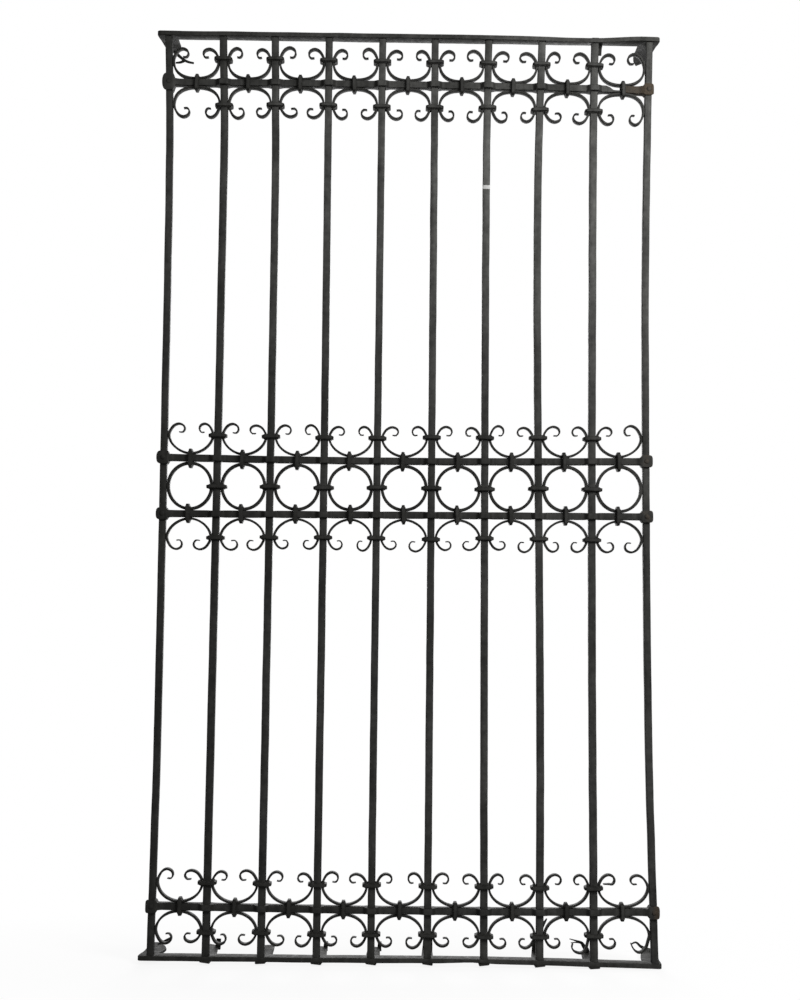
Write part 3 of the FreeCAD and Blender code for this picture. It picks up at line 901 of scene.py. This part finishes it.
def leg_pairs(rail, side, end):
    """Outer and inner edge of a wall leg, as pairs of points from its end to the corner of its rail."""
    edges = LEGS[rail, side]
    pairs = []
    for step in range(LEG_STEPS):
        pair = []
        for edge in edges:
            back = edge[-1][0] + (edge[0][0] - edge[-1][0]) * step / LEG_STEPS
            inward, rise = (through([(point[0], point[axis]) for point in edge], back) for axis in (1, 2))
            pair.append(Vector((side * (end - inward * MM), back * MM, rise * MM)))
        pairs.append(pair)
    inner = edges[1][0][1] * MM
    for step in range(CORNER_STEPS + 1):
        turn = math.pi / 2 * step / CORNER_STEPS
        round_x = CORNER_ROUND * (1 - math.cos(turn))
        round_y = CORNER_ROUND * (1 - math.sin(turn))
        outer = Vector((side * (end - round_x), -FLAT_HALF_DEPTH + round_y, 0))
        pairs.append((outer, Vector((side * (end - inner - CORNER_SPREAD * step), FLAT_HALF_DEPTH, 0))))
    return pairs


def flat_rail(rail, dent, wear):
    """A flat rail and its thin wall legs; dent raises its front edge along it, wear its underside."""
    low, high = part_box(f"{rail}_rail")
    end = (high.x - low.x) / 2 - SEAT
    pairs = leg_pairs(rail, -1, end)
    others = leg_pairs(rail, 1, end)[::-1]
    left, right = pairs[-1], others[0]
    for step in range(1, FLAT_STEPS):
        pairs.append([here.lerp(there, step / FLAT_STEPS) for here, there in zip(left, right)])
    pairs += others
    loops = []
    for outer, inner in pairs:
        wave = WAVE_HIGH * noise.noise(Vector((outer.x / WAVE_LENGTH, level_of(rail), 0)))
        front = outer + Z * (rail_z(rail, outer.x) + through(dent, outer.x) + wave)
        back = inner + Z * rail_z(rail, inner.x)
        half = (back - front).length / 2
        start, stop = LEG_THINS
        thin = ease(((front.y + back.y) / 2 - start) / (stop - start))
        half_thick = (FLAT_THICK + (LEG_THICK - FLAT_THICK) * thin) / 2
        outline = rounded(-half, half, through(wear, outer.x) - half_thick, half_thick, FLAT_ARRIS)
        loops.append(loop((front + back) / 2, (back - front).normalized(), Z, outline))
    return sweep(loops)


def evenly(widths):
    """Widths in millimetres spread evenly from end to end."""
    return [(place / (len(widths) - 1), width * MM) for place, width in enumerate(widths)]


def prong(points, widths, origin, across, mirror=1):
    """A thin split end of a leg or strap, from points in millimetres off its origin."""
    path = [origin + Vector((mirror * x, y, z)) * MM for x, y, z in points]
    return flat_bar(curve_through(path, THIN_STEP), evenly(widths), PRONG_THICKS, across, PRONG_ROUND)


def leg_prongs(rail):
    """The prongs that the wall legs of a flat rail are split into."""
    low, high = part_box(f"{rail}_rail")
    end = (high.x - low.x) / 2
    shells = []
    for (owner, side), prongs in LEG_PRONGS.items():
        if owner == rail:
            origin = Vector((side * end, 0, rail_z(rail, side * end)))
            shells += [prong(points, widths, origin, Z, side) for points, widths in prongs]
    return shells


def hook(foot, beside, height, width):
    """An upturned end of a strap, from sizes in millimetres."""
    path = [foot + Vector((beside, back, 0)) * MM + Y * HOOK_BACK for back in HOOK_LIES]
    path.append(foot + X * (beside + HOOK_ASIDE) * MM + Y * (HOOK_BACK + HOOK_PAST) + Z * height * MM)
    widths = evenly((width, width * HOOK_TAPER))
    return flat_bar(curve_through(path, THIN_STEP), widths, HOOK_THICKS, X, THIN_ROUND)


def strap(index):
    """A flattened strap under the bottom rail, with what its end is turned or split into."""
    points, widths = STRAPS[index - 1]
    lean = hand.uniform(-STRAP_LEAN, STRAP_LEAN)
    under = FLAT_THICK / 2 + STRAP_THICK / 2 - abs(lean) * widths[0] / 2 * MM - 2 * SEAT
    foot = Vector((bar_x(index, 0), 0, 0))
    foot.z = rail_z("bottom_flat", foot.x) - under
    path = curve_through([foot + Vector(point) * MM for point in points], FLAT_IRON_STEP)
    shells = [flat_bar(path, evenly(widths), STRAP_THICKS, X + Z * lean, STRAP_ROUND)]
    shells += [hook(foot, *sizes) for bar, *sizes in HOOKS if bar == index]
    if index == LAST - 1:
        shells += [prong(points, widths, foot, X + Z) for points, widths in STRAP_PRONGS]
    return shells


def top_strap():
    """A strap that comes from behind a bar and hangs down behind the top rail."""
    low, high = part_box("top_strap")
    x = (low.x + high.x) / 2
    half = STRAP_THICK / 2
    points = [Vector((x, low.y + half, high.z - half)), Vector((x, high.y - 2 * half, high.z - half)),
              Vector((x, high.y - half, high.z - 3 * half)), Vector((x, high.y - half, low.z + half))]
    wide = high.x - low.x
    widths = ((0, wide), (1, wide * TOP_STRAP_TAPER))
    return flat_bar(curve_through(points, THIN_STEP), widths, TOP_STRAP_THICKS, X, THIN_ROUND)


# Materials

def add(tree, kind, inputs=(), **settings):
    """A shader node; its inputs, by name or place, are plain values or outputs of other nodes."""
    made = tree.nodes.new(kind)
    for name, value in settings.items():
        setattr(made, name, value)
    for key, value in dict(inputs).items():
        if isinstance(value, bpy.types.NodeSocket):
            tree.links.new(value, made.inputs[key])
        else:
            made.inputs[key].default_value = value
    return made


def cloudy(tree, place, scale, detail):
    inputs = {"Vector": place, "Scale": scale, "Detail": detail, "Roughness": CLOUD_ROUGHNESS}
    return add(tree, "ShaderNodeTexNoise", inputs).outputs["Fac"]


def spread(tree, value, low, high, to_low=0.0, to_high=1.0):
    inputs = {"Value": value, "From Min": low, "From Max": high, "To Min": to_low, "To Max": to_high}
    return add(tree, "ShaderNodeMapRange", inputs).outputs["Result"]


def calculate(tree, operation, first, second, third=0.0):
    inputs = {0: first, 1: second, 2: third}
    return add(tree, "ShaderNodeMath", inputs, operation=operation).outputs[0]


def blend(tree, share, first, second):
    return add(tree, "ShaderNodeMix", {0: share, 6: first, 7: second}, data_type="RGBA").outputs[2]


def stretched(tree, place, factors):
    return add(tree, "ShaderNodeVectorMath", {0: place, 1: factors}, operation="MULTIPLY").outputs[0]


def marked(tree, name):
    return add(tree, "ShaderNodeAttribute", attribute_name=name).outputs["Fac"]


def painted_iron(name, dark, pale, sheen_share, rust_bias):
    """Old black paint on forged iron: a painted sheen on the fronts, dusty, rubbed and painted with edge
    highlights on the arrises, and rusty in places.
    """
    material = bpy.data.materials.new(name)
    material.use_nodes = True
    tree = material.node_tree
    shader = tree.nodes["Principled BSDF"]
    place = add(tree, "ShaderNodeTexCoord").outputs["Object"]
    drawn = stretched(tree, place, STREAK_STRETCH)
    blotch = cloudy(tree, place, *BLOTCH)
    streak = cloudy(tree, drawn, *STREAK)
    mottle = cloudy(tree, place, *MOTTLE)
    grain = cloudy(tree, place, *GRAIN)
    speck = cloudy(tree, place, *SPECK)

    uneven = calculate(tree, "MULTIPLY_ADD", streak, STREAK_SHARE, blotch)
    paint = blend(tree, spread(tree, uneven, *PAINT_TURN), (*dark, 1), (*pale, 1))
    # Painted sheen: front-facing paint turns to a lighter grey, stronger to the upper right
    sheen_grey = blend(tree, spread(tree, uneven, *SHEEN_TURN), *SHEEN_SHADES)
    front = calculate(tree, "MULTIPLY", marked(tree, "front"), sheen_share)
    paint = blend(tree, front, paint, sheen_grey)
    patchy = {0: paint, "Scale": spread(tree, mottle, *PATCH_TURN)}
    paint = add(tree, "ShaderNodeVectorMath", patchy, operation="SCALE").outputs["Vector"]
    dust = spread(tree, speck, *DUST_TURN)
    paint = blend(tree, dust, paint, DUST_SHADE)
    # Lighter arrises: rubbed paint and a painted edge highlight
    rubbed_and_highlit = calculate(tree, "MULTIPLY", marked(tree, "arris"), spread(tree, mottle, *RUBBED_AND_HIGHLIT_TURN))
    paint = blend(tree, rubbed_and_highlit, paint, RUBBED_AND_HIGHLIT_SHADE)
    worn = spread(tree, marked(tree, "worn"), *PALE_TURN)
    paint = blend(tree, worn, paint, PALE_SHADE)
    rust = calculate(tree, "MULTIPLY_ADD", mottle, RUST_MOTTLE, marked(tree, "rust"))
    rust_low, rust_high = RUST_TURN
    rust = spread(tree, rust, rust_low - rust_bias, rust_high - rust_bias)
    brown = blend(tree, spread(tree, grain, *GRAIN_TURN), *RUST_SHADES)
    tree.links.new(blend(tree, rust, paint, brown), shader.inputs["Base Color"])

    gloss = spread(tree, mottle, *GLOSS_TURN)
    rough = {0: rust, 2: gloss, 3: RUST_ROUGHNESS}
    roughness = add(tree, "ShaderNodeMix", rough, data_type="FLOAT").outputs[0]
    tree.links.new(roughness, shader.inputs["Roughness"])
    shader.inputs["Specular IOR Level"].default_value = PAINT_SHINE
    relief = calculate(tree, "MULTIPLY_ADD", mottle, RELIEF_MOTTLE, grain)
    bumps = {"Strength": RELIEF_STRENGTH, "Distance": RELIEF_HEIGHT, "Height": relief}
    tree.links.new(add(tree, "ShaderNodeBump", bumps).outputs["Normal"], shader.inputs["Normal"])
    return material


paints = {name: painted_iron(name, *looks) for name, looks in PAINTS.items()}


# The grille

def add_row(node, shells, paint):
    add_piece(node, make_mesh(node, shells), paints[paint])


for index, name in enumerate(BAR_NAMES):
    add_row(name, [square_bar(index)], "bar_paint")

for name in RAIL_NAMES[1:]:
    plain_rail(name, paints["rail_paint"])
mended_rail(paints["rail_paint"], paints["rust_paint"])

rivets = [rivet_head(name, index) for name in RAIL_NAMES for index in (0, LAST)]
add_row("rivet_heads", rivets, "rail_paint")

for place, rows in SCROLL_ROWS.items():
    for bay in range(LAST):
        shells = [scroll(bay, rail, way, SCROLL_FORM[place], CURL_HIGH[place]) for rail, way in rows]
        add_row(f"{place}_scrolls_bay_{bay + 1}", shells, "scroll_paint")
    for row, (rail, way) in zip(("top", "bottom"), rows):
        heights = [on_rail(rail, index).z + way * collar_rise(rail, way) for index in INNER_BARS]
        shells = [bar_collar(index, z, COLLAR_ROOM, COLLAR_THICK) for index, z in zip(INNER_BARS, heights)]
        add_row(f"{place}_{row}_bar_collars", shells, "collar_paint")

add_row("rings", [ring(bay) for bay in range(LAST)], "scroll_paint")
heights = [ring_z(on_rail("lower_middle", index).x) for index in INNER_BARS]
shells = [bar_collar(index, z, RING_COLLAR_ROOM, RING_COLLAR_THICK)
          for index, z in zip(INNER_BARS, heights)]
add_row("ring_bar_collars", shells, "collar_paint")

for name, (above, below) in RAIL_BINDINGS.items():
    shells = [rail_collar(bay, name, above, below) for bay in range(LAST)]
    add_row(f"{name}_rail_collars", shells, "collar_paint")

for rail, dent, wear in (("bottom_flat", LEVEL, BOTTOM_WEAR), ("top_flat", TOP_EDGE, LEVEL)):
    node = f"{rail}_rail"
    holes = bar_cutters(bar_places(rail, -FLAT_END, FLAT_END), FLAT_CUT)
    plate = pierced(make_mesh(node, [flat_rail(rail, dent, wear)]), holes)
    add_piece(node, joined(plate, leg_prongs(rail)), paints["rail_paint"])

straps = [shell for index in INNER_BARS for shell in strap(index)]
add_row("bottom_straps", straps, "wall_paint")
add_row("top_strap", [top_strap()], "wall_paint")


# Floor, light and camera

def seen_or_lit(tree, lit, seen):
    """Two shades in one: lit is what throws light on things, seen is what is looked at."""
    path = add(tree, "ShaderNodeLightPath").outputs
    looks = calculate(tree, "ADD", path["Is Camera Ray"], path["Is Glossy Ray"])
    looks = calculate(tree, "MAXIMUM", looks, path["Is Transmission Ray"])
    looks = calculate(tree, "MINIMUM", looks, 1.0)
    return add(tree, "ShaderNodeMixShader", {0: looks, 1: lit, 2: seen}).outputs[0]


def set_world():
    world = bpy.data.worlds.new("studio")
    world.use_nodes = True
    tree = world.node_tree
    tree.nodes.clear()
    lit = add(tree, "ShaderNodeBackground", {"Color": WHITE, "Strength": WORLD_LIGHT}).outputs[0]
    white = add(tree, "ShaderNodeBackground", {"Color": WHITE, "Strength": 1.0}).outputs[0]
    add(tree, "ShaderNodeOutputWorld", {"Surface": seen_or_lit(tree, lit, white)})
    bpy.context.scene.world = world


def add_floor():
    """A pale floor that keeps the shadow near the grille and turns plain white further off."""
    mesh = bpy.data.meshes.new("floor")
    level = cad_low.z
    half = FLOOR_HALF
    square = ((-half, -half), (half, -half), (half, half), (-half, half))
    mesh.from_pydata([(x, y, level) for x, y in square], [], [(0, 1, 2, 3)])
    floor = bpy.data.objects.new("floor", mesh)
    bpy.context.scene.collection.objects.link(floor)
    material = bpy.data.materials.new("pale_floor")
    material.use_nodes = True
    tree = material.node_tree
    tree.nodes.clear()
    lit = add(tree, "ShaderNodeBsdfDiffuse", {"Color": FLOOR_BOUNCE}).outputs[0]
    matt = add(tree, "ShaderNodeBsdfDiffuse", {"Color": FLOOR_SHADE}).outputs[0]
    white = add(tree, "ShaderNodeEmission", {"Color": WHITE, "Strength": 1.0}).outputs[0]
    place = add(tree, "ShaderNodeTexCoord").outputs["Object"]
    ground = stretched(tree, place, FLOOR_STRETCH)
    away = add(tree, "ShaderNodeVectorMath", {0: ground}, operation="LENGTH").outputs["Value"]
    shaded = spread(tree, away, *FLOOR_FADE, FLOOR_SHADED, 0.0)
    seen = add(tree, "ShaderNodeMixShader", {0: shaded, 1: white, 2: matt}).outputs[0]
    add(tree, "ShaderNodeOutputMaterial", {"Surface": seen_or_lit(tree, lit, seen)})
    mesh.materials.append(material)


def add_light(name, place, target, size, power):
    data = bpy.data.lights.new(name, "AREA")
    data.size = size
    data.energy = power
    light = bpy.data.objects.new(name, data)
    light.location = place
    light.rotation_euler = (Vector(target) - Vector(place)).to_track_quat("-Z", "Y").to_euler()
    bpy.context.scene.collection.objects.link(light)


def add_camera():
    forward = Vector((CAMERA_YAW, math.cos(CAMERA_PITCH), math.sin(CAMERA_PITCH))).normalized()
    level = forward.cross(Z).normalized()
    upright = level.cross(forward)
    right = level * math.cos(CAMERA_ROLL) + upright * math.sin(CAMERA_ROLL)
    up = upright * math.cos(CAMERA_ROLL) - level * math.sin(CAMERA_ROLL)
    data = bpy.data.cameras.new("camera")
    data.sensor_width = SENSOR
    data.lens = FOCAL_PIXELS * SENSOR / IMAGE_HEIGHT
    camera = bpy.data.objects.new("camera", data)
    turn = Matrix((right, up, -forward)).transposed().to_4x4()
    camera.matrix_world = Matrix.Translation(CAMERA_PLACE) @ turn
    bpy.context.scene.collection.objects.link(camera)
    bpy.context.scene.camera = camera


set_world()
add_floor()
for light in LIGHTS:
    add_light(*light)
add_camera()
bpy.context.scene.view_settings.view_transform = "Standard"
